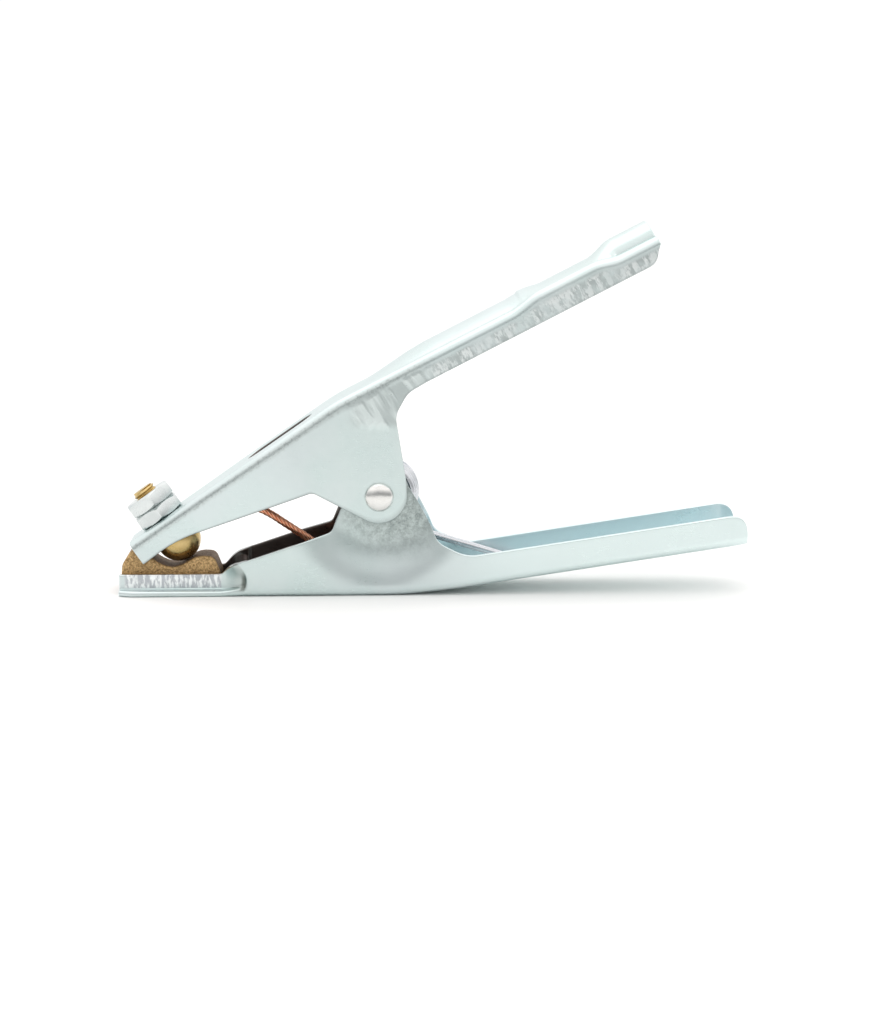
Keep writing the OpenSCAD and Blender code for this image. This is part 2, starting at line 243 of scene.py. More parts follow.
def sweep(name, path, radius, sides, tip=1.0, sharp=None):
    """A round wire along path, its radius times tip at both ends."""
    points = []
    last = len(path) - 1
    for i, (p, normal, side) in enumerate(frames(path)):
        r = radius * (tip if i in (0, last) else 1)
        for k in range(sides):
            a = 2 * math.pi * k / sides
            points.append(p + (normal * math.cos(a) + side * math.sin(a)) * r)
    return outward(make(name, points, rod_faces(len(path), sides), sharp))


def joined(name, parts):
    """Several mesh objects as one."""
    for other in bpy.context.selected_objects:
        other.select_set(False)
    for part in parts:
        part.select_set(True)
    bpy.context.view_layer.objects.active = parts[0]
    bpy.ops.object.join()
    parts[0].name = name
    parts[0].data.name = name
    return parts[0]


# ---- Channel section --------------------------------------------------------
WEB_N, ARC_N, RIM_N = 22, 7, 3


def outer_side(half, bend, deep, wall, crown, wall_n):
    """Outer side of half a channel, from mid web to just above the wall's edge, as (y, depth)."""
    flat = half - bend
    side = [(flat * k / WEB_N, -crown(flat * k / WEB_N, flat)) for k in range(WEB_N)]
    side += [(half - bend + bend * math.sin(a), bend - bend * math.cos(a))
             for a in (math.pi / 2 * k / ARC_N for k in range(ARC_N + 1))]
    foot = deep - RIM
    for k in range(1, wall_n + 1):
        z = lerp(bend, foot, k / wall_n)
        side.append((wall(z), z))
    return side


def half_loop(side, inset, hem=0.0, hem_y=0.0):
    """Closes an outer side to half a sheet section with a rounded rim. inset shrinks the sheet.

    hem is how far the inner side gives way to a plain corner at hem_y, where the sheet is folded flat.
    """
    n = len(side)
    normals = []
    for i in range(n):
        a, b = side[max(0, i - 1)], side[min(n - 1, i + 1)]
        if i == 0:
            a = (-side[1][0], side[1][1])
        t = Vector((b[0] - a[0], b[1] - a[1])).normalized()
        normals.append(Vector((t.y, -t.x)))
    outer = [Vector(p) - m * inset for p, m in zip(side, normals)]
    inner = [Vector(p) - m * (SHEET - inset) for p, m in zip(side, normals)]
    if hem:
        low, turn = SHEET - inset, WEB_N + ARC_N
        foot = side[-1][1]
        for i, p in enumerate(inner):
            if i <= turn:
                q = Vector((hem_y * i / turn, low))
            else:
                q = Vector((hem_y, lerp(low, foot, (i - turn) / (n - 1 - turn))))
            inner[i] = p.lerp(q, hem)
    m = normals[-1]
    t = Vector((-m.y, m.x))
    rim = []
    r = RIM - inset * 0.6
    for k in range(1, RIM_N + 1):
        a = math.pi / 2 * k / RIM_N
        rim.append(outer[-1] + t * (r * math.sin(a)) - m * (r * (1 - math.cos(a))))
    back = []
    for k in range(RIM_N, 0, -1):
        a = math.pi / 2 * k / RIM_N
        back.append(inner[-1] + t * (r * math.sin(a)) + m * (r * (1 - math.cos(a))))
    return outer + rim + back + inner[::-1]


def place_ring(half, w, into, slip, bend, deep):
    """A half section as a whole ring in space. w is the web's point and into points to the edge."""
    right = []
    for y, q in half:
        lean = slip * min(1.0, max(0.0, (q - bend) / (deep - bend)))
        c = w + into * q + lean
        right.append(Vector((c.x, y, c.y)))
    left = [Vector((p.x, -p.y, p.z)) for p in right[-2:0:-1]]
    return right + left


def inner_flags(side, half):
    """1 for the points of a ring on the sheet's inner side, 0 for the rest."""
    right = [float(i >= side + RIM_N) for i in range(half)]
    return right + right[-2:0:-1]


def end_insets(stations, depth=0.4):
    """Stations with their inset: the sheet is rounded off over the last bit at both ends."""
    def ends(first, second):
        way = (second - first).normalized()
        return [(first + way * d, i) for d, i in ((0, 0.3), (0.12, 0.12), (depth, 0.0))]
    head = ends(stations[0], stations[1])
    tail = ends(stations[-1], stations[-2])
    body = [(s, 0.0) for s in stations[1:-1]
            if (s - stations[0]).length > depth and (s - stations[-1]).length > depth]
    return head + body + tail[::-1]


def channel(name, rings, marks):
    """A sheet channel over its rings, closed at both ends. marks says what shows at each point."""
    n = len(rings[0])
    m = n // 2 + 1
    points = [p for ring in rings for p in ring]
    faces = grid_faces(len(rings), n)
    for base in (0, (len(rings) - 1) * n):
        right = list(range(m))
        left = [0] + [n - i for i in range(1, m - 1)] + [m - 1]
        for side in (right, left):
            for i in range(m // 2 - 1):
                faces.append(tuple(base + side[k] for k in (i, i + 1, m - 2 - i, m - 1 - i)))
    layers = [(key, [mark[key] for mark in marks]) for key in marks[0]]
    return outward(make(name, points, faces, 40, layers))


# ---- Lower arm --------------------------------------------------------------
RISE = 0.1475
FLOOR = [(-90, 0), (5, 0), (16, 0.8), (24, 1.7), (32, 2.8), (40, 4.1), (200, 4.1 + 160 * RISE)]
WALL_H = 10.5
EAR_R = 10.2
CRIMP_X = -52.4
CRIMP_END = -44.4
CRIMP_TOP = 6.8
CRIMP_HALF = PAD_HALF + 1.7 + SHEET
HEM_R = 1.0
HEM_SET = 0.7
HEM_CORNER = 0.3


def floor_at(x):
    """Underside of the lower arm at x, smoothed over its bend."""
    return sum(table(x + d, FLOOR) for d in (-5, -2.5, 0, 2.5, 5)) / 5 if x > 0 else 0.0


def lower_half(x):
    """Half width of the floor: a little rounded at the nose and at the handle's end."""
    nose = 1.8 * (1 - ramp(x, NOSE_X - 2, NOSE_X + 5))
    end = 1.2 * ramp(x, LOWER_END - 5, LOWER_END + 2)
    return LOWER_HALF - nose - end


def joggle(x, z):
    """How far the wall is pressed in around the pivot, from nothing to all of it."""
    return (1 - ramp(math.hypot((x - 1) * 0.9, z - PIVOT_Z + 1), 14, 32)) ** 1.3


def along_fold(x, z):
    """The place x as the curved end of the folded front sees it."""
    return x + 1.7 * ((z - 5.3) / 4.5) ** 2


def pinch(x, z):
    """How far the front of the wall is folded in on the pad: a slope, then a small steep edge."""
    bent = along_fold(x, z)
    edge = 0.28 * (1 - ramp(z, 6.5, 10))
    return (1 - edge) * (1 - ramp(bent, CRIMP_X, CRIMP_END)) + edge * (1 - ramp(bent, -44.7, -43.4))


def folded_side(floor_half, deep, wall_n):
    """Outer side where the floor's edge is folded flat on itself and stands up beside the pad."""
    inner = floor_half - HEM_R
    ledge_z = 2 * HEM_R
    side = [(inner * k / WEB_N, 0.0) for k in range(WEB_N)]
    side += [(inner + HEM_R * math.sin(a), HEM_R - HEM_R * math.cos(a))
             for a in (math.pi * k / ARC_N for k in range(ARC_N + 1))]
    ledge = [(lerp(inner, CRIMP_HALF + HEM_CORNER, k / 5), ledge_z) for k in range(1, 6)]
    ledge += [(CRIMP_HALF + HEM_CORNER - HEM_CORNER * math.sin(a),
               ledge_z + HEM_CORNER - HEM_CORNER * math.cos(a))
              for a in (math.pi / 2 * k / 4 for k in range(1, 5))]
    left = wall_n - len(ledge)
    wall = [(CRIMP_HALF, lerp(ledge_z + HEM_CORNER, deep - RIM, k / left)) for k in range(1, left + 1)]
    return side + ledge + wall


def lower_side(x, deep, bend, wall_n):
    """Outer side of half the lower section: plain wall, joggled ear or folded front."""
    half = lower_half(x)
    depth = LOWER_HALF - LOWER_EAR_HALF
    plain = outer_side(half, bend, deep, lambda z: half - depth * joggle(x, z), lambda y, flat: 0.0, wall_n)
    if x > -40:
        return plain, 0.0
    side = []
    for p, q in zip(plain, folded_side(half - HEM_SET, deep, wall_n)):
        t = pinch(x, p[1])
        side.append((lerp(p[0], q[0], t), lerp(p[1], q[1], t)))
    return side, pinch(x, 5.3)


def lower_corners():
    """The wall's top edge from the nose over the ear to the handle's end, as (x, z, x, cut)."""
    edge = [(NOSE_X, CRIMP_TOP, 0), (CRIMP_X, CRIMP_TOP, 0.8), (-49.9, 9.5, 1.2), (-46, 11.4, 1.5),
            (-42.8, 12.3, 1.5), (-15.8, 21.3, 1.2)]
    for k in range(31):
        a = math.radians(168 - 5 * k)
        edge.append((EAR_R * math.cos(a), PIVOT_Z + EAR_R * math.sin(a), 0))
    edge += [(13, 30.9, 2), (17.4, 22.6, 1.5), (19.2, 17.8, 2.5), (28.8, floor_at(28.8) + WALL_H, 4),
             (LOWER_END - 0.4, floor_at(LOWER_END) + WALL_H, 6.5),
             (LOWER_END, floor_at(LOWER_END) + BEND + 0.3, 0)]
    return [(x, z, x, cut) for x, z, cut in edge]


def lower_marks(p, within):
    """How much each finish, painted shade and painted reflection shows at a point of the lower arm, from 0
    to 1.
    """
    out = 1 - within
    bent = along_fold(p.x, p.z)
    around = math.hypot((p.x - 5) * 0.85, p.z - PIVOT_Z)
    return {
        "inside": within,
        "front": 1 - ramp(p.x, -16, 4),
        "fold": (out * (1 - ramp(p.x, -53, -52)) * ramp(p.z, 2.2, 2.5)
                 * ramp(p.x, NOSE_X + 1.5, NOSE_X + 2.5)),
        # painted shadow from the upper ear, laid over the lower ear's mottle
        "ear": out * (1 - ramp(around, 9, 25)) * ramp(p.x, -24, -10),
        # painted shade: darkens the pressed-in recess of the folded front toward its steep step
        "pocket_shade": out * ramp(bent, -52, -44.6) * (1 - ramp(bent, -44.2, -43.5)) * ramp(p.z, 1.5, 2.6),
        # painted shade: near black along the steep step at the end of the folded front's recess
        "step_shade": (out * ramp(bent, -46.0, -44.9) * (1 - ramp(bent, -44.3, -43.7))
                   * ramp(p.z, 1.6, 2.8) * (1 - ramp(p.z, 5.8, 8.5))),
        # painted reflection: the lower handle's wall is lightened as if by the bright floor
        "floor_reflection": out * ramp(p.x, 12, 48),
    }


def lower_arm():
    """The lower channel: folded front round the pad, pressed-in ear and handle."""
    rings, marks = [], []
    for s, inset in end_insets(refine(rounded(lower_corners()), 0.55)):
        x, top = s.z, s.y
        low = floor_at(x)
        deep = top - low
        bend = min(BEND, deep - RIM - 0.1)
        side, hem = lower_side(x, deep, bend, 28)
        half = half_loop(side, inset, hem, CRIMP_HALF - SHEET)
        ring = place_ring(half, Vector((x, low)), Vector((0, 1)), Vector((0, 0)), bend, deep)
        rings.append(ring)
        marks += [lower_marks(p, within) for p, within in zip(ring, inner_flags(len(side), len(half)))]
    return channel("lower_channel", rings, marks)


# ---- Upper arm --------------------------------------------------------------
JAW_RISE, HANDLE_RISE = 0.69, 0.512
ELBOW_X, ELBOW_CUT = -14.5, 4.0
TIP = Vector((-83, 17.2))
JAW_ANGLE, HANDLE_ANGLE = math.atan(JAW_RISE), math.atan(HANDLE_RISE)
HANDLE_DROP = 8 / math.cos(HANDLE_ANGLE)
SLOT_X, SLOT_W, SLOT_L = -33.0, 10.0, 26.0
JAW_TIP_HALF = 10.0
CROWN_H, CROWN_STEP, CROWN_LIFT = 3.1, 0.5, 1.9
MOUTH_H, MOUTH_DROP, MOUTH_WIDTH = 5.25, 2.0, 0.72
EAR_LOW_R = 9.4


def jaw_line(x):
    """Height of the web's straight run over the jaw."""
    return TIP.y + JAW_RISE * (x - TIP.x)


def handle_line(x):
    """Height of the web's straight run over the handle."""
    return jaw_line(ELBOW_X) + HANDLE_RISE * (x - ELBOW_X)


def web_at(x):
    """Height of the web, with the two runs joined by a round elbow."""
    if x < ELBOW_X - ELBOW_CUT:
        return jaw_line(x)
    if x > ELBOW_X + ELBOW_CUT:
        return handle_line(x)
    u = (x - ELBOW_X + ELBOW_CUT) / (2 * ELBOW_CUT)
    rise = JAW_RISE * (u - u * u / 2) + HANDLE_RISE * u * u / 2
    return jaw_line(ELBOW_X - ELBOW_CUT) + 2 * ELBOW_CUT * rise


def inward_at(x):
    """Direction from the web to the open side."""
    t = min(1.0, max(0.0, (x - ELBOW_X + ELBOW_CUT) / (2 * ELBOW_CUT)))
    a = lerp(JAW_ANGLE, HANDLE_ANGLE, t)
    return Vector((math.sin(a), -math.cos(a)))


def handle_edge(x):
    """Height of the wall's edge along the handle."""
    return handle_line(x) - HANDLE_DROP


def mouth(x):
    """How far the web has opened into the half tube for the cable."""
    return ramp(x, UPPER_END - 22, UPPER_END - 12)


def upper_crown(x):
    """Height of the web's crown: an arch, a small step where it stops, then the cable mouth."""
    arch = CROWN_H * ramp(x, -12, 18) * (1 - 0.7 * ramp(x, 44, 54)) * (1 - mouth(x))
    step = CROWN_STEP * ramp(x, 46.6, 47.2) * (1 - ramp(x, 47.3, 56))
    return arch + step + MOUTH_H * mouth(x)


def crown_shape(x):
    """The crown's height across the web at x."""
    belly = lerp(1, MOUTH_WIDTH, mouth(x))
    height = upper_crown(x)

    def at(y, flat):
        return height * max(0.0, 1 - (y / (flat * belly)) ** 2) ** lerp(1.0, 0.5, mouth(x))
    return at


def upper_corners():
    """The wall's free edge from the jaw's tip round the ear to the handle's end."""
    corners = [(-78.2, 10.2, TIP.x, 0), (-67.1, 18.4, -73.5, 7), (-22, 34.5, -33, 1.4)]
    disc = Vector((-0.2, PIVOT_Z + 0.6))
    for k in range(25):
        a = math.radians(-120 + 5 * k)
        corners.append((disc.x + EAR_LOW_R * math.cos(a), disc.y + EAR_LOW_R * math.sin(a),
                        lerp(-14, -3, k / 24), 0))
    end = UPPER_END
    corners += [(9, 38, -1.5, 0), (5.4, 60, 3.8, 3), (9.6, handle_edge(9.6) - 0.4, 6.5, 2.5),
                (16, handle_edge(16), 12.3, 0), (end - 0.2, handle_edge(end - 0.2), end - 3.8, 3),
                (end, handle_edge(end) + 3.6, end - 0.5, 0)]
    return corners


def upper_half_at(x):
    """Half width of the upper arm, narrower toward the jaw's tip."""
    return lerp(JAW_TIP_HALF, UPPER_HALF, ramp(x, TIP.x, -32))


def upper_marks(p, within, q, deep):
    """How much each finish and painted shade shows at a point of the upper arm that lies q down a wall of
    depth deep.
    """
    out = 1 - within
    return {
        "inside": within,
        "front": 1 - ramp(p.x, 10, 30),
        "edge": out * (1 - ramp(deep - q, 0.1, 0.9)) * ramp(q, 2, 4),
        "marks": out * ramp(p.x, 6, 20) * ramp(q, 3.2, 4.4),
        # partly painted shade: darker streaks stand in for the shading of the wrinkles, which the bump also
        # shapes
        "fan": (out * ramp(p.x, -12, -6) * (1 - ramp(p.x, 10, 22))
                * ramp(p.z, 55.5, 57.5) * ramp(q, 3.0, 4.5)),
        # partly painted shade: a grey band along the bend stands in for its shading, under real die specks
        "speck": out * (1 - ramp(p.x, 8, 24)) * ramp(q, 1.0, 1.5) * (1 - ramp(q, 2.6, 4.0)),
    }


def upper_arm():
    """The upper channel: jaw, ears and crowned handle with the cable's mouth."""
    rings, marks = [], []
    for s, inset in end_insets(refine(rounded(upper_corners()), 0.6)):
        x = s.z
        w = Vector((x, web_at(x) + CROWN_LIFT * ramp(x, 43, 52) - MOUTH_DROP * mouth(x)))
        into = inward_at(x)
        reach = Vector((s.x, s.y)) - w
        deep = reach.dot(into)
        slip = reach - into * deep
        bend = min(BEND, deep - RIM - 0.1)
        half = upper_half_at(x)
        foot = upper_half_at(min(x, s.x))
        side = outer_side(half, bend, deep,
                          lambda z: lerp(half, foot, (z - bend) / (deep - bend)),
                          crown_shape(x), 22)
        half_ring = half_loop(side, inset)
        ring = place_ring(half_ring, w, into, slip, bend, deep)
        rings.append(ring)
        for p, within in zip(ring, inner_flags(len(side), len(half_ring))):
            marks.append(upper_marks(p, within, (Vector((p.x, p.z)) - w).dot(into), deep))
    return cut_slot(channel("upper_channel", rings, marks))


def cut_slot(arm):
    """Cuts the cable slot, with small chamfers, through the upper web."""
    straight = (SLOT_L - SLOT_W) / 2
    outline = []
    for s in (1, -1):
        for k in range(17):
            a = math.radians(-90 + 180 * k / 16) + (0 if s > 0 else math.pi)
            outline.append(Vector((s * straight + SLOT_W / 2 * math.cos(a), SLOT_W / 2 * math.sin(a))))
    place = Matrix.Translation((SLOT_X, 0, jaw_line(SLOT_X))) @ Matrix.Rotation(-JAW_ANGLE, 4, "Y")
    levels = [(-4, 0.5), (-SHEET - 0.05, 0.45), (-SHEET + 0.3, 0), (-0.3, 0), (0.05, 0.45), (4, 0.5)]
    points = []
    for z, grow in levels:
        for p in outline:
            middle = Vector((max(-straight, min(straight, p.x)), 0))
            q = p + (p - middle).normalized() * grow
            points.append(place @ Vector((q.x, q.y, z)))
    cutter = outward(make("slot_cutter", points, rod_faces(len(levels), len(outline))))
    cut = arm.modifiers.new("slot", "BOOLEAN")
    cut.object = cutter
    cut.solver = "EXACT"
    bpy.context.view_layer.objects.active = arm
    bpy.ops.object.modifier_apply(modifier="slot")
    bpy.data.objects.remove(cutter)
    return arm


# ---- Jaw contacts -----------------------------------------------------------
STUD = Matrix.Translation(BALL_AT) @ Matrix.Rotation(-JAW_ANGLE, 4, "Y")
STUD_R = 4.0
BALL_SEAT = 5.6
WEB_OFF = (jaw_line(BALL_AT.x) - BALL_AT.z) * math.cos(JAW_ANGLE)
NUT_H, NUT_FLATS, NUT_GAP, NUT_SIDES = 4.8, 15.5, 0.05, 120
STUD_PROUD = 2.1
THREAD_PITCH, THREAD_DEPTH, THREAD_GAP = 1.25, 0.55, 0.05


def ball_stud():
    """Ball, neck and threaded end of the stud."""
    top = WEB_OFF + 2 * NUT_H + 2 * NUT_GAP + STUD_PROUD
    r = BALL_R + 0.15
    profile = [(0, -r)]
    for k in range(1, 61):
        a = -math.pi / 2 + (math.pi / 2 + math.asin(BALL_SEAT / r)) * k / 60
        profile.append((r * math.cos(a), r * math.sin(a)))
    profile += [(STUD_R + 0.2, BALL_SEAT), (STUD_R, BALL_SEAT + 0.2)]
    z = BALL_SEAT + 0.8
    while z < top - 0.7:
        profile.append((STUD_R, z))
        z += 0.12
    profile += [(STUD_R, top - 0.6), (STUD_R - 0.3, top - 0.3), (STUD_R - 0.6, top - 0.02),
                (STUD_R - 0.75, top), (1.5, top), (0, top)]

    def thread(r, z, a):
        if r < 2 or z < WEB_OFF:
            return r, z
        turn = (z / THREAD_PITCH - a / (2 * math.pi)) % 1.0
        cut = THREAD_DEPTH * max(0.0, min(1.0, 1.35 * (1 - abs(2 * turn - 1)) - 0.1))
        fade = 1 - ramp(z, top - 0.35, top - 0.05)
        return r - cut * fade, z
    return lathe("ball_stud_turned", profile, STUD, wobble=thread, sharp=50)


def nut(name, base, turn):
    """A hexagon nut with chamfered corners and a countersunk thread."""
    bore, flat = STUD_R + THREAD_GAP, NUT_FLATS / 2
    face = flat - 0.45
    slope = math.tan(math.radians(30))
    place = STUD @ Matrix.Translation((0, 0, base)) @ Matrix.Rotation(math.radians(turn), 4, "Z")

    def corner(a):
        return flat / math.cos((a + math.pi / 6) % (math.pi / 3) - math.pi / 6)

    def drop(a):
        return (corner(a) - face) * slope

    def chamfer(t):
        return lambda a: (lerp(face, corner(a), t) - 0.02 * (t == 1), drop(a) * t)

    def flipped(at):
        return lambda a: (at(a)[0], NUT_H - at(a)[1])
    low = [lambda a: (bore, 0.55), lambda a: (bore + 0.45, 0.0),
           lambda a: (lerp(bore, face, 0.5), 0.0), lambda a: (face, 0.0)]
    low += [chamfer(t) for t in (0.3, 0.6, 0.85, 1)]
    low.append(lambda a: (corner(a), drop(a) + 0.08))
    rows = low + [flipped(at) for at in reversed(low)]
    points = [p for at in rows for p in ring_points(place, NUT_SIDES, at)]
    return outward(make(name, points, loop_faces(len(rows), NUT_SIDES), 28))


PAD_ROUND, PAD_CLEAR = 0.75, 0.3


def pad():
    """Cast contact pad: rounded outline swept across, with the foot under the folded walls."""
    under = jaw_line(-82) - SHEET / math.cos(JAW_ANGLE) - PAD_CLEAR
    front, back = PAD_LO.x, -53
    outline = rounded([
        (front, SHEET, 0, 0), (front + 0.7, 9.6, 0, 1), (-82.6, under - 1, 0, 1.5),
        (-79.3, under, 0, 1.6), (-75.3, 11.2, 0, 2.4), (-68.7, 7.7, 0, 4.2),
        (-60.2, 12.5, 0, 2.4), (-55, 12.2, 0, 2), (back, 7, 0, 0.6), (back, SHEET, 0, 0)], 12)
    flat = [Vector((p.x, p.y)) for p in refine(outline, 0.45)]
    n = len(flat)
    normals = []
    for i in range(n):
        a, b = flat[max(0, i - 1)], flat[min(n - 1, i + 1)]
        t = (b - a).normalized()
        normals.append(Vector((-t.y, t.x)))
    r = PAD_ROUND
    left = [(-PAD_HALF + r * (1 - math.cos(a)), r * (1 - math.sin(a)))
            for a in (math.pi / 2 * k / 6 for k in range(7))]
    middle = [(lerp(-PAD_HALF + r, PAD_HALF - r, k / 24), 0.0) for k in range(1, 24)]
    right = [(-y, i) for y, i in reversed(left)]
    rows = left + middle + right
    points = []
    for y, inset in rows:
        for p, m in zip(flat, normals):
            q = p - m * inset
            swell = 0.8 * (1 - (y / PAD_HALF) ** 2) * ramp(q.x, -79, -77) * (1 - ramp(q.x, -76, -73.5))
            points.append(Vector((q.x, y, max(SHEET, q.y + swell))))
    count = len(rows)
    faces = grid_faces(count, n, wrap=False)
    faces.append(tuple(k * n for k in reversed(range(count))) + tuple(k * n + n - 1 for k in range(count)))
    faces += [tuple(range(n)), tuple(range((count - 1) * n, count * n))]
    # painted shade: marks the pad's top and saddle, away from its flat sides, for darkening in cast_brass
    top = [ramp(PAD_HALF - abs(p.y), 0.3, 1.0) for p in points]
    block = outward(make("contact_pad_cast", points, faces, 50, [("top", top)]))
    foot_half = CRIMP_HALF - SHEET - 0.05
    foot = bevelled_box("pad_foot", (front + 1, -foot_half, SHEET), (back, foot_half, 6.1), 0.3)
    return joined("contact_pad_cast", [block, foot])


def bevelled_box(name, low, high, bevel):
    """A block between two corners with rounded edges."""
    corners = [(x, y, z) for x in (low[0], high[0]) for y in (low[1], high[1]) for z in (low[2], high[2])]
    faces = [(0, 1, 3, 2), (4, 6, 7, 5), (0, 4, 5, 1), (2, 3, 7, 6), (0, 2, 6, 4), (1, 5, 7, 3)]
    obj = outward(make(name, corners, faces))
    mod = obj.modifiers.new("bevel", "BEVEL")
    mod.width = bevel * MM
    mod.segments = 3
    bpy.context.view_layer.objects.active = obj
    bpy.ops.object.modifier_apply(modifier="bevel")
    return obj


# ---- Pivot ------------------------------------------------------------------
RIVET_R = 3.0
ACROSS = Matrix.Rotation(math.pi / 2, 4, "X")


def rivet_head(name, side):
    """Domed head outside the upper ear, with a small seat and a slightly flattened crown."""
    seat = UPPER_HALF + 0.05
    dome = RIVET_HI.y - seat
    r = (RIVET_HI.z - RIVET_LO.z) / 2
    profile = [(0, -0.2), (r - 0.25, 0), (r - 0.06, 0.05), (r, 0.22)]
    for k in range(1, 17):
        a = math.pi / 2 * k / 16
        profile.append((r * math.cos(a) ** 0.9, 0.22 + (dome - 0.22) * math.sin(a)))
    profile[-1] = (0, dome)
    place = Matrix.Translation((0, side * seat, PIVOT_Z)) @ Matrix.Rotation(-side * math.pi / 2, 4, "X")
    return lathe(name, profile, place, sharp=45)


def pivot_rivet():
    """Shank through both ears with a domed head at each end."""
    half = UPPER_HALF + 0.1
    profile = [(0, -half), (RIVET_R, -half), (RIVET_R, half), (0, half)]
    shank = lathe("rivet_shank", profile, Matrix.Translation((0, 0, PIVOT_Z)) @ ACROSS)
    return joined("pivot_rivet_domed", [rivet_head("head_near", -1), rivet_head("head_far", 1), shank])


def ring_solid(name, r_in, r_out, low, high, place, chamfer=0.25, sides=96):
    """A tube or washer with chamfered ends."""
    c = chamfer
    profile = [(r_in, low + c), (r_in + c, low), (r_out - c, low), (r_out, low + c),
               (r_out, high - c), (r_out - c, high), (r_in + c, high), (r_in, high - c)]
    points = [p for spot in profile for p in ring_points(place, sides, lambda a: spot)]
    return outward(make(name, points, loop_faces(len(profile), sides), 30))


def pivot_sleeve():
    """Spacer tube round the rivet, between the lower ears."""
    place = Matrix.Translation((0, 0, PIVOT_Z)) @ ACROSS
    return ring_solid("spring_sleeve", RIVET_R + 0.05, SLEEVE_HI.x, -SLEEVE_HI.y, SLEEVE_HI.y, place)


WIRE, COIL_D, COIL_TURNS = 2.5, 20.4, 6
COIL_AT = Vector((2.1, PIVOT_Z - 0.6))
LOW_DIP, HIGH_LEAN = 17.0, 20.0
LEG_X, LEG_SEAT = 60, 0.1 + WIRE / 2 + SHEET
COIL_PITCH = WIRE * 1.02
COIL_SWELL, COIL_SHIFT, COIL_PHASE = 0.2, 0.75, 0.33


def torsion_spring():
    """Close-wound coil with a leg down to the lower handle and a leg up to the upper web.

    Every second turn is a little wider, and the turns drift toward the pivot, as wound wire lies.
    """
    low_a, high_a = -90 - LOW_DIP, 180 - HIGH_LEAN
    turn = 360 * COIL_TURNS + (360 + low_a - high_a + 360) % 360
    steps = 48 * COIL_TURNS
    half = COIL_PITCH * turn / 720
    coil = []
    for k in range(steps + 1):
        a = math.radians(low_a - turn * k / steps)
        wider = 1 + math.sin(math.pi * (turn * k / steps / 360 - COIL_PHASE))
        r = COIL_D / 2 + COIL_SWELL * wider
        at = COIL_AT.lerp(Vector((0, PIVOT_Z)), COIL_SHIFT * k / steps)
        coil.append(Vector((at.x + r * math.cos(a), half - 2 * half * k / steps, at.y + r * math.sin(a))))
    dip, lean = math.radians(LOW_DIP), math.radians(HIGH_LEAN)
    a, b = coil[0], coil[-1]
    low = ((a.z - table(LEG_X, FLOOR) + RISE * (LEG_X - a.x) - LEG_SEAT - 0.1)
           / (math.sin(dip) + RISE * math.cos(dip)))
    high = ((handle_line(b.x) - b.z - LEG_SEAT / math.cos(HANDLE_ANGLE) - 0.1)
            / (math.cos(lean) - HANDLE_RISE * math.sin(lean)))
    low_way = Vector((math.cos(dip), 0, -math.sin(dip)))
    high_way = Vector((math.sin(lean), 0, math.cos(lean)))
    n = 24
    path = [a + low_way * (low * (n - k) / n) for k in range(n)] + coil
    path += [b + high_way * (high * k / n) for k in range(1, n + 1)]
    return sweep("torsion_spring_wire", path, WIRE / 2, 20, tip=0.86, sharp=40)


# ---- Copper jumper ----------------------------------------------------------
STRAND_D = 2.6
STRAND_LAY = 11.0
BARREL_D, BARREL_L, CRIMP_AT = 5.0, 6.5, 3.2
LUG_X = -40.0


def in_stud(s, z):
    """A point in the stud's own frame: s along the web and z up the stud from the ball's centre."""
    return STUD @ Vector((s, 0, z))


LIFT = WEB_OFF - SHEET - BARREL_D / 2 - 0.1
LUG_MOUTH = SHEET + BARREL_D / 2
ROUTE = [in_stud(10, LIFT), in_stud(16.5, LIFT), (-50, 0, 30.8), (-45, -1, 29),
         (-40, -2, 27.6), (-36, -2, 25.6), (-30, -2, 21.6), (-24, -1, 17.4), (-18, 1, 12.6),
         (-14, 2, 8), (-16.5, 2, 4.9), (-22, 1, 4.3), (LUG_X + 15.5, 0, LUG_MOUTH),
         (LUG_X + 9, 0, LUG_MOUTH)]


def copper_strand():
    """Seven bunches of wire laid up in a rope along the jumper's route."""
    centre = spline(ROUTE, 26)
    lengths = [0.0]
    for a, b in zip(centre, centre[1:]):
        lengths.append(lengths[-1] + (b - a).length)
    bunches = []
    wire_r = STRAND_D / 6
    for w in range(7):
        out = 0 if w == 6 else 2 * wire_r
        path = []
        for (p, normal, side), length in zip(frames(centre), lengths):
            a = 2 * math.pi * (length / STRAND_LAY + w / 6)
            path.append(p + (normal * math.cos(a) + side * math.sin(a)) * out)
        bunches.append(sweep(f"bunch_{w}", path, wire_r * 1.02, 10))
    return joined("copper_rope", bunches)


def lug(name, place, ring_r, hole_r, plate, reach, barrel_from, barrel_z):
    """Ring lug: washer, tongue and a crimped barrel for the strand."""
    washer = ring_solid(name + "_ring", hole_r, ring_r, 0, plate, place, chamfer=0.12)
    tongue = bevelled_box(name + "_tongue", (ring_r - 1.2, -2.2, 0.02), (reach, 2.2, plate - 0.02), 0.1)
    tongue.data.transform(Matrix.Scale(MM, 4) @ place @ Matrix.Scale(1 / MM, 4))
    mouth_at = place @ Matrix.Translation((barrel_from, 0, barrel_z))
    barrel = ring_solid(name + "_barrel", STRAND_D / 2 + 0.3, BARREL_D / 2, 0, BARREL_L,
                        mouth_at @ Matrix.Rotation(math.pi / 2, 4, "Y"), chamfer=0.15, sides=48)
    crimp = mouth_at.inverted()
    for v in barrel.data.vertices:
        local = crimp @ (v.co / MM)
        squeeze = 1 - 0.16 * math.exp(-((local.x - CRIMP_AT) / 1.1) ** 2)
        if Vector((local.y, local.z)).length > STRAND_D / 2 + 0.5:
            local.z *= squeeze
        v.co = (crimp.inverted() @ local) * MM
    return joined(name, [washer, tongue, barrel])


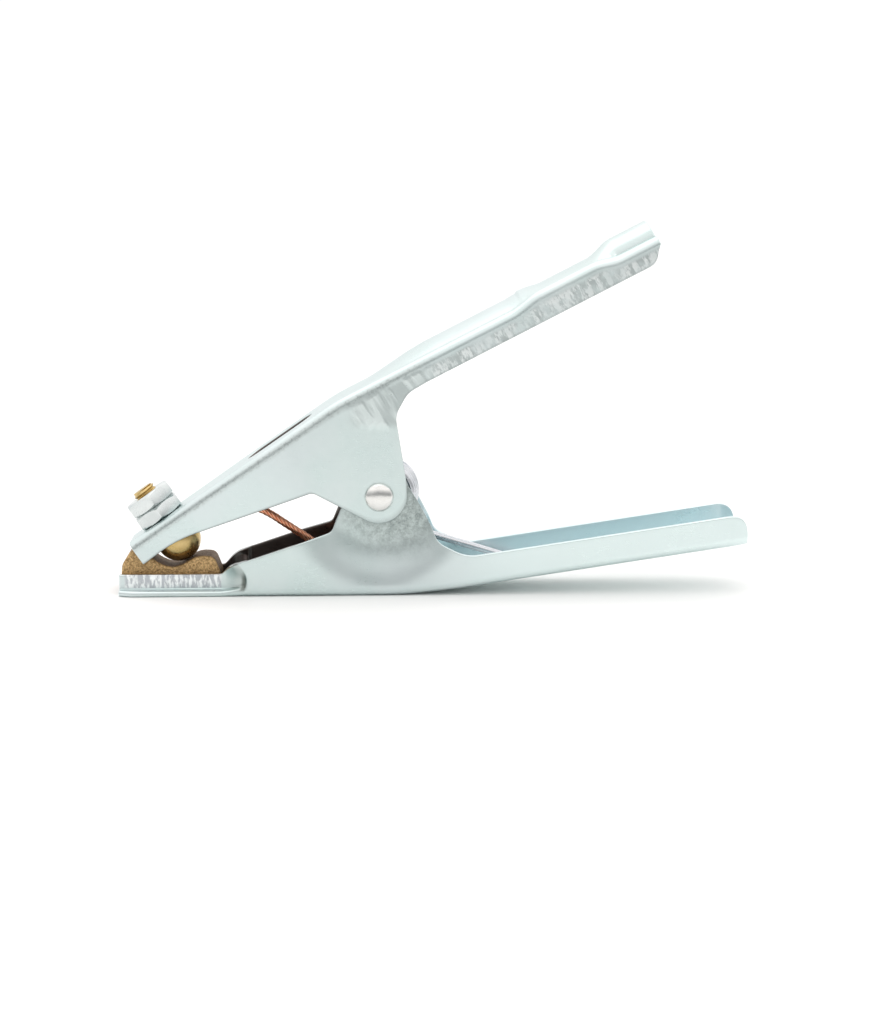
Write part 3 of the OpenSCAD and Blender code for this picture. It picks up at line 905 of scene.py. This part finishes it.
def upper_lug():
    """The lug clamped between the ball and the upper web."""
    plate = WEB_OFF - SHEET - BALL_SEAT
    place = STUD @ Matrix.Translation((0, 0, BALL_SEAT))
    return lug("lug_under_ball", place, 6.6, STUD_R + 0.05, plate - 0.02, 10.5, 8.8,
               plate - BARREL_D / 2 - 0.1)


def lower_lug():
    """The lug riveted to the lower arm's floor."""
    place = Matrix.Translation((LUG_X, 0, SHEET))
    return lug("lug_on_floor", place, 5.2, 2.05, 1.0, 9.5, 8.0, BARREL_D / 2)


def lug_rivet():
    """Countersunk in the floor's underside, with a round head over the lug."""
    profile = [(0, 0.02), (2.85, 0.02), (1.95, 0.9), (1.95, 2.8)]
    for k in range(9):
        a = math.pi / 2 * k / 8
        profile.append((3.3 * math.cos(a), 2.8 + 1.7 * math.sin(a)))
    profile[-1] = (0, 4.5)
    return lathe("lug_rivet_set", profile, Matrix.Translation((LUG_X, 0, 0)), sides=64, sharp=40)


# ---- Materials --------------------------------------------------------------
class Tree:
    """A material's node tree, with short calls to add nodes."""

    def __init__(self, name):
        self.mat = bpy.data.materials.new(name)
        self.mat.use_nodes = True
        self.nodes = self.mat.node_tree.nodes
        self.links = self.mat.node_tree.links
        self.shader = self.nodes["Principled BSDF"]
        self.place = self.add("ShaderNodeTexCoord").outputs["Object"]

    def add(self, kind, **inputs):
        node = self.nodes.new(kind)
        for key, value in inputs.items():
            self.put(node.inputs[key.replace("_", " ")], value)
        return node

    def put(self, socket, value):
        if isinstance(value, bpy.types.NodeSocket):
            self.links.new(value, socket)
        else:
            socket.default_value = value

    def noise(self, scale, detail=4.0, rough=0.55, stretch=None, turn=0.0):
        """Noise at so many cells per metre, drawn out by stretch along axes turned about Y."""
        node = self.add("ShaderNodeTexNoise", Scale=scale, Detail=detail, Roughness=rough)
        source = self.place
        if stretch:
            drawn = self.nodes.new("ShaderNodeMapping")
            drawn.vector_type = "TEXTURE"
            drawn.inputs["Scale"].default_value = stretch
            drawn.inputs["Rotation"].default_value = (0, turn, 0)
            self.links.new(source, drawn.inputs["Vector"])
            source = drawn.outputs[0]
        self.links.new(source, node.inputs["Vector"])
        return node.outputs[0]

    def remap(self, value, a, b, c=0.0, d=1.0):
        node = self.add("ShaderNodeMapRange")
        for key, v in zip(("Value", "From Min", "From Max", "To Min", "To Max"), (value, a, b, c, d)):
            self.put(node.inputs[key], v)
        return node.outputs[0]

    def math(self, op, a, b=0.0):
        node = self.nodes.new("ShaderNodeMath")
        node.operation = op
        self.put(node.inputs[0], a)
        self.put(node.inputs[1], b)
        return node.outputs[0]

    def mix(self, share, a, b):
        node = self.nodes.new("ShaderNodeMix")
        node.data_type = "RGBA"
        self.put(node.inputs[0], share)
        for socket, value in ((node.inputs[6], a), (node.inputs[7], b)):
            self.put(socket, (*value, 1) if isinstance(value, tuple) else value)
        return node.outputs[2]

    def attribute(self, name):
        node = self.nodes.new("ShaderNodeAttribute")
        node.attribute_name = name
        return node.outputs["Fac"]

    def bump(self, height, distance, strength=1.0):
        node = self.nodes.new("ShaderNodeBump")
        node.inputs["Strength"].default_value = strength
        node.inputs["Distance"].default_value = distance
        self.links.new(height, node.inputs["Height"])
        previous = self.shader.inputs["Normal"]
        if previous.is_linked:
            self.links.new(previous.links[0].from_socket, node.inputs["Normal"])
        self.links.new(node.outputs[0], previous)

    def finish(self, color, rough, metallic=1.0):
        self.put(self.shader.inputs["Base Color"], (*color, 1) if isinstance(color, tuple) else color)
        self.put(self.shader.inputs["Roughness"], rough)
        self.shader.inputs["Metallic"].default_value = metallic
        return self.mat


def zinc_plate():
    """Bright zinc on rolled sheet: soft clouds, specks, die scuffs, press marks and dark edges, plus
    painted shade and a painted floor reflection.
    """
    t = Tree("zinc_plate")
    cloud = t.remap(t.noise(55, 5), 0.35, 0.68)
    base = t.mix(cloud, (0.60, 0.70, 0.69), (0.67, 0.755, 0.745))
    tint = t.remap(t.noise(28, 2), 0.4, 0.7)
    base = t.mix(t.math("MULTIPLY", tint, 0.4), base, (0.62, 0.67, 0.70))
    speck = t.remap(t.noise(1100, 5, 0.7), 0.64, 0.70)
    base = t.mix(t.math("MULTIPLY", speck, 0.22), base, (0.40, 0.45, 0.45))

    # die scuffs along the handle, wrinkles where the ear meets it with painted shade in their darker
    # streaks, and specks along the bend over a painted grey for the bend's shade
    scuff = t.remap(t.noise(760, 4, 0.65, (1, 1, 3.4), -HANDLE_ANGLE), 0.45, 0.56)
    patch = t.remap(t.noise(130, 3, 0.6), 0.34, 0.58)
    scuffed = t.math("MULTIPLY", t.attribute("marks"), patch)
    base = t.mix(t.math("MULTIPLY", scuffed, 0.75), base,
                 t.mix(scuff, (0.40, 0.445, 0.44), (0.80, 0.84, 0.835)))
    # painted shade in the wrinkle streaks, over the real wrinkle relief
    wrinkle = t.remap(t.noise(260, 2, 0.5, (1, 1, 4.0), -0.55), 0.40, 0.60)
    base = t.mix(t.math("MULTIPLY", t.attribute("fan"), 0.6), base,
                 t.mix(wrinkle, (0.38, 0.425, 0.42), (0.66, 0.72, 0.71)))
    # painted shade: the bend's band is greyed under its specks
    grit = t.remap(t.noise(900, 4, 0.7), 0.50, 0.62)
    base = t.mix(t.math("MULTIPLY", t.attribute("speck"), 0.6), base,
                 t.mix(grit, (0.52, 0.575, 0.565), (0.30, 0.33, 0.32)))

    # upright press marks on the folded front, and the mottled ear of the lower arm, darkened by painted
    # shadow from the upper ear
    press = t.remap(t.noise(900, 3, 0.55, (1, 1, 3.5)), 0.44, 0.56)
    base = t.mix(t.attribute("fold"), base, t.mix(press, (0.90, 0.94, 0.945), (0.50, 0.53, 0.56)))
    ear = t.attribute("ear")
    mottle = t.remap(t.noise(420, 10, 0.85), 0.40, 0.58)
    base = t.mix(t.math("MULTIPLY", ear, 0.82), base,
                 t.mix(mottle, (0.17, 0.20, 0.195), (0.48, 0.545, 0.53)))
    # painted shade in the pressed-in recess of the folded front
    base = t.mix(t.math("MULTIPLY", t.attribute("pocket_shade"), 0.5), base, (0.36, 0.40, 0.375))
    # painted shade: near black along the steep step of the folded front
    base = t.mix(t.math("MULTIPLY", t.attribute("step_shade"), 0.85), base, (0.10, 0.115, 0.10))
    # painted reflection of the bright floor, lightening the lower handle
    base = t.mix(t.math("MULTIPLY", t.attribute("floor_reflection"), 0.7), base, (0.76, 0.87, 0.86))

    # dark cut edges, and the inside: painted shade, near black with a painted reddish reflection of the
    # copper, between the jaws, and bluish along the handle
    base = t.mix(t.math("MULTIPLY", t.attribute("edge"), 0.6), base, (0.25, 0.28, 0.28))
    inside, front = t.attribute("inside"), t.attribute("front")
    base = t.mix(t.math("MULTIPLY", inside, t.math("MULTIPLY", front, 0.9)), base, (0.10, 0.07, 0.06))
    rear = t.math("MULTIPLY", inside, t.math("SUBTRACT", 1.0, front))
    base = t.mix(t.math("MULTIPLY", rear, 0.9), base, (0.73, 0.85, 0.875))

    lines = t.noise(350, 3, 0.6, (1, 1, 0.08))
    rough = t.math("ADD", t.remap(lines, 0.3, 0.7, 0.25, 0.34), t.math("MULTIPLY", cloud, 0.05))
    rough = t.math("ADD", rough, t.math("MULTIPLY", ear, 0.08))
    t.bump(t.noise(180, 3), 0.00004)
    t.bump(t.math("MULTIPLY", scuffed, scuff), 0.00004)
    t.bump(t.math("MULTIPLY", t.attribute("fan"), wrinkle), 0.00012)
    t.bump(t.math("MULTIPLY", t.attribute("fold"), t.math("SUBTRACT", 1.0, press)), 0.0001)
    return t.finish(base, rough)


def zinc_nut():
    """Brighter, smoother zinc on the nuts."""
    t = Tree("zinc_nut")
    cloud = t.remap(t.noise(220, 4), 0.35, 0.7)
    base = t.mix(cloud, (0.58, 0.62, 0.62), (0.70, 0.74, 0.735))
    t.bump(t.noise(600, 4), 0.00003)
    return t.finish(base, t.remap(cloud, 0, 1, 0.2, 0.34))


def cast_brass():
    """Sand-cast brass: grainy, with painted shade on the pad's top, away from its flat sides."""
    t = Tree("cast_brass")
    grain = t.noise(1500, 8, 0.75)
    lump = t.noise(420, 5, 0.6)
    base = t.mix(t.remap(grain, 0.38, 0.66), (0.22, 0.13, 0.05), (0.92, 0.65, 0.32))
    base = t.mix(t.math("MULTIPLY", t.remap(lump, 0.45, 0.75), 0.55), base, (0.54, 0.36, 0.17))
    t.bump(lump, 0.0003, 0.8)
    t.bump(grain, 0.0002, 1.0)
    # painted shade: the pad's top and saddle darkened as if occluded by the ball
    base = t.mix(t.math("MULTIPLY", t.attribute("top"), 0.7), base, (0.14, 0.095, 0.085))
    return t.finish(base, t.remap(grain, 0.3, 0.7, 0.75, 0.5), 0.6)


def turned_brass():
    """Smooth brass with faint clouds."""
    t = Tree("turned_brass")
    cloud = t.remap(t.noise(260, 5), 0.35, 0.7)
    base = t.mix(cloud, (0.50, 0.36, 0.14), (0.66, 0.50, 0.24))
    t.bump(t.noise(900, 4), 0.00004, 0.7)
    return t.finish(base, t.remap(cloud, 0, 1, 0.24, 0.36))


def copper(name, rough):
    """Bare copper, slightly tarnished in places."""
    t = Tree(name)
    cloud = t.remap(t.noise(600, 6, 0.65), 0.35, 0.7)
    base = t.mix(cloud, (0.72, 0.30, 0.17), (0.97, 0.56, 0.37))
    t.bump(t.noise(1600, 4), 0.00005, 0.8)
    return t.finish(base, rough)


def plain_steel(name, color, rough):
    """Plain steel of a given tone and roughness."""
    t = Tree(name)
    cloud = t.remap(t.noise(400, 5), 0.35, 0.7)
    base = t.mix(cloud, tuple(c * 0.88 for c in color), color)
    t.bump(t.noise(800, 4), 0.00003, 0.7)
    return t.finish(base, t.remap(cloud, 0, 1, rough, rough + 0.1))


# ---- The object -------------------------------------------------------------
def dress(obj, body, nodes, material):
    """Gives a piece its material and slot, and fixes it to its body in place of its CAD nodes."""
    obj.data.materials.clear()
    obj.data.materials.append(material)
    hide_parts(*nodes)
    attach(obj, body)


ZINC = zinc_plate()
NUT = zinc_nut()
BRASS = turned_brass()
RIVET = plain_steel("rivet_steel", (0.80, 0.80, 0.78), 0.16)
SPRING = plain_steel("spring_steel", (0.68, 0.70, 0.73), 0.2)
COPPER = copper("copper", 0.34)

dress(lower_arm(), "lower_body", ["lower_arm"], ZINC)
dress(upper_arm(), "upper_body", ["upper_arm"], ZINC)
dress(pad(), "lower_body", ["contact_pad"], cast_brass())
dress(ball_stud(), "upper_body", ["ball_stud"], BRASS)
dress(nut("nut_lower", WEB_OFF + NUT_GAP, 8), "upper_body", ["stud_nuts"], NUT)
dress(nut("nut_upper", WEB_OFF + NUT_H + 2 * NUT_GAP, 10), "upper_body", ["stud_nuts"], NUT)
dress(upper_lug(), "upper_body", ["upper_lug"], COPPER)
dress(lower_lug(), "lower_body", ["lower_lug"], COPPER)
dress(lug_rivet(), "lower_body", ["lug_rivet"], RIVET)
dress(pivot_rivet(), "upper_body", ["pivot_rivet"], RIVET)
dress(pivot_sleeve(), "lower_body", ["pivot_sleeve"],
      plain_steel("sleeve_steel", (0.60, 0.62, 0.64), 0.3))

spring = torsion_spring()
spring.data.materials.append(SPRING)
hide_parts("torsion_spring")
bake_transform(spring)

rope = copper_strand()
rope.data.materials.append(copper("copper_wire", 0.3))
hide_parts("copper_strand")
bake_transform(rope)


# ---- Floor, light and camera ------------------------------------------------
def floor():
    """The whitish plane that the clamp lies on."""
    size = 3.0
    mesh = bpy.data.meshes.new("floor")
    mesh.from_pydata([(-size, -size, 0), (size, -size, 0), (size, size, 0), (-size, size, 0)],
                     [], [(0, 1, 2, 3)])
    obj = bpy.data.objects.new("floor", mesh)
    bpy.context.scene.collection.objects.link(obj)
    t = Tree("floor")
    t.finish((0.94, 0.945, 0.94), 0.6, 0.0)
    t.shader.inputs["Specular IOR Level"].default_value = 0.2
    mesh.materials.append(t.mat)


def area(name, at, aim, size, power):
    """A square soft light at a place, turned to face a point."""
    light = bpy.data.lights.new(name, "AREA")
    light.shape = "RECTANGLE"
    light.size, light.size_y = size, size
    light.energy = power
    obj = bpy.data.objects.new(name, light)
    obj.location = at
    obj.rotation_euler = (Vector(aim) - Vector(at)).to_track_quat("-Z", "Y").to_euler()
    bpy.context.scene.collection.objects.link(obj)


def world():
    """A white room: bright overhead and behind the object, dimmer behind the camera."""
    scene_world = bpy.data.worlds.new("studio")
    bpy.context.scene.world = scene_world
    scene_world.use_nodes = True
    nodes, links = scene_world.node_tree.nodes, scene_world.node_tree.links
    split = nodes.new("ShaderNodeSeparateXYZ")
    links.new(nodes.new("ShaderNodeTexCoord").outputs["Generated"], split.inputs[0])

    def remap(value, a, b, c, d):
        node = nodes.new("ShaderNodeMapRange")
        node.interpolation_type = "SMOOTHSTEP"
        for key, v in zip(("From Min", "From Max", "To Min", "To Max"), (a, b, c, d)):
            if isinstance(v, bpy.types.NodeSocket):
                links.new(v, node.inputs[key])
            else:
                node.inputs[key].default_value = v
        links.new(value, node.inputs["Value"])
        return node.outputs[0]
    level = remap(split.outputs["Y"], -0.5, 0.5, 0.42, 1.06)
    level = remap(split.outputs["Z"], 0.12, 0.62, level, 1.32)
    warm = remap(split.outputs["Z"], 0.1, 0.6, 0.0, 1.0)
    tone = nodes.new("ShaderNodeMix")
    tone.data_type = "RGBA"
    tone.inputs[6].default_value = (0.985, 1.0, 1.0, 1)
    tone.inputs[7].default_value = (1.0, 0.975, 0.965, 1)
    links.new(warm, tone.inputs[0])
    background = nodes["Background"]
    links.new(tone.outputs[2], background.inputs["Color"])
    links.new(level, background.inputs["Strength"])


def camera():
    """The photograph's view: turned 2.2 degrees from square on, 9.4 degrees up, 0.7 m off."""
    data = bpy.data.cameras.new("camera")
    data.sensor_fit = "VERTICAL"
    data.sensor_height = 36
    data.lens = 73.83
    data.clip_start = 0.01
    obj = bpy.data.objects.new("camera", data)
    obj.location = (-0.0067, -0.6967, 0.1411)
    obj.rotation_euler = (math.radians(90 - 9.4), 0, math.radians(-2.2))
    bpy.context.scene.collection.objects.link(obj)
    bpy.context.scene.camera = obj


floor()
world()
area("overhead", (-0.1, 0.15, 0.9), (0, 0, 0), 0.9, 1.3)
camera()
bpy.context.scene.view_settings.view_transform = "Standard"
